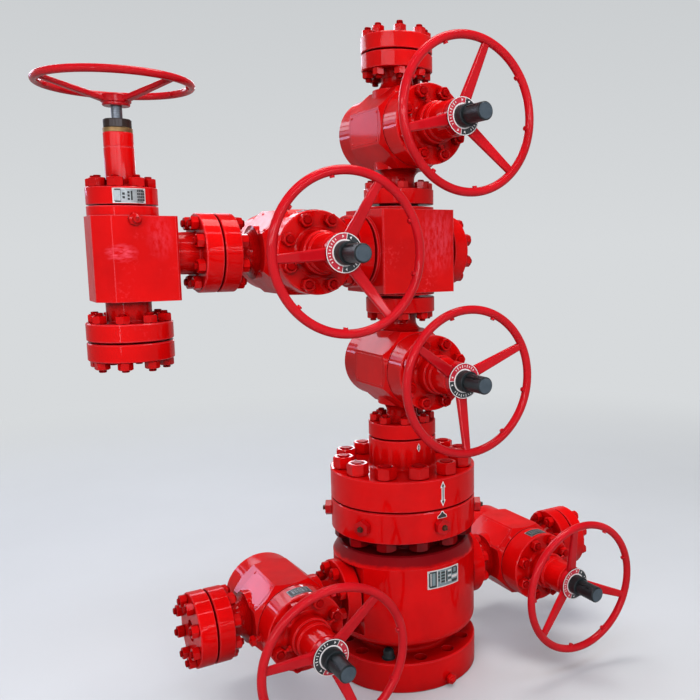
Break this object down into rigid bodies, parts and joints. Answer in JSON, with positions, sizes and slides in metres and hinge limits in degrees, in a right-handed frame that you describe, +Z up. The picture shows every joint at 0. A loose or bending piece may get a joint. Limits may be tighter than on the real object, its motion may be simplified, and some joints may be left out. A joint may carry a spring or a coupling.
{
  "type": "wellhead valve stack",
  "caption": "Wellhead valve stack: tubing head, adapter, forged gate valves with turning handwheels, cross block, tree cap and an angle choke on the wing",
  "frame": {"origin": "centre of the base flange's underside, where the stack stands on the casing head", "axes": "+Z up the vertical run, X along the wing line with the choke on -X, -Y towards the valve handwheels"},
  "size_m": [2.142, 0.914, 2.4929],
  "materials": {
    "red_paint": "gloss",
    "guard_plastic": "satin",
    "steel": "satin",
    "brass": "satin",
    "black_paint": "satin"
  },
  "bodies": {
    "tree": {"tubing_head_spool": "red_paint", "tie_down_screws": "steel", "tubing_head_adapter": "red_paint", "cross_block": "red_paint", "tree_cap": "red_paint", "blind_flange": "red_paint", "choke_body": "red_paint", "choke_bonnet": "red_paint", "choke_brass_ring": "brass", "choke_lock_collar": "black_paint", "choke_outlet_flange": "red_paint", "left_annulus_flange": "red_paint", "right_annulus_flange": "red_paint", "master_valve_body": "red_paint", "master_bonnet": "red_paint", "master_bearing_cap": "red_paint", "swab_valve_body": "red_paint", "swab_bonnet": "red_paint", "swab_bearing_cap": "red_paint", "wing_valve_body": "red_paint", "wing_bonnet": "red_paint", "wing_bearing_cap": "red_paint", "left_annulus_valve_body": "red_paint", "left_annulus_bonnet": "red_paint", "left_annulus_bearing_cap": "red_paint", "right_annulus_valve_body": "red_paint", "right_annulus_bonnet": "red_paint", "right_annulus_bearing_cap": "red_paint"},
    "master_wheel": {"master_handwheel": "red_paint", "master_stem_guard": "guard_plastic"},
    "swab_wheel": {"swab_handwheel": "red_paint", "swab_stem_guard": "guard_plastic"},
    "wing_wheel": {"wing_handwheel": "red_paint", "wing_stem_guard": "guard_plastic"},
    "left_annulus_wheel": {"left_annulus_handwheel": "red_paint", "left_annulus_stem_guard": "guard_plastic"},
    "right_annulus_wheel": {"right_annulus_handwheel": "red_paint", "right_annulus_stem_guard": "guard_plastic"},
    "choke_wheel": {"choke_stem": "steel", "choke_handwheel": "red_paint"}
  },
  "joints": [
    {"name": "master_wheel_turn", "type": "hinge", "parent": "tree", "child": "master_wheel", "pos_m": [0, -0.439, 1.2445], "axis": [0, -1, 0], "continuous": true},
    {"name": "swab_wheel_turn", "type": "hinge", "parent": "tree", "child": "swab_wheel", "pos_m": [0, -0.439, 2.152], "axis": [0, -1, 0], "continuous": true},
    {"name": "wing_wheel_turn", "type": "hinge", "parent": "tree", "child": "wing_wheel", "pos_m": [-0.4525, -0.439, 1.69825], "axis": [0, -1, 0], "continuous": true},
    {"name": "left_annulus_wheel_turn", "type": "hinge", "parent": "tree", "child": "left_annulus_wheel", "pos_m": [-0.5385, -0.439, 0.357], "axis": [0, -1, 0], "continuous": true},
    {"name": "right_annulus_wheel_turn", "type": "hinge", "parent": "tree", "child": "right_annulus_wheel", "pos_m": [0.5385, -0.439, 0.357], "axis": [0, -1, 0], "continuous": true},
    {"name": "choke_wheel_turn", "type": "hinge", "parent": "tree", "child": "choke_wheel", "pos_m": [-1.0196, 0, 2.16185], "axis": [0, 0, 1], "continuous": true}
  ]
}
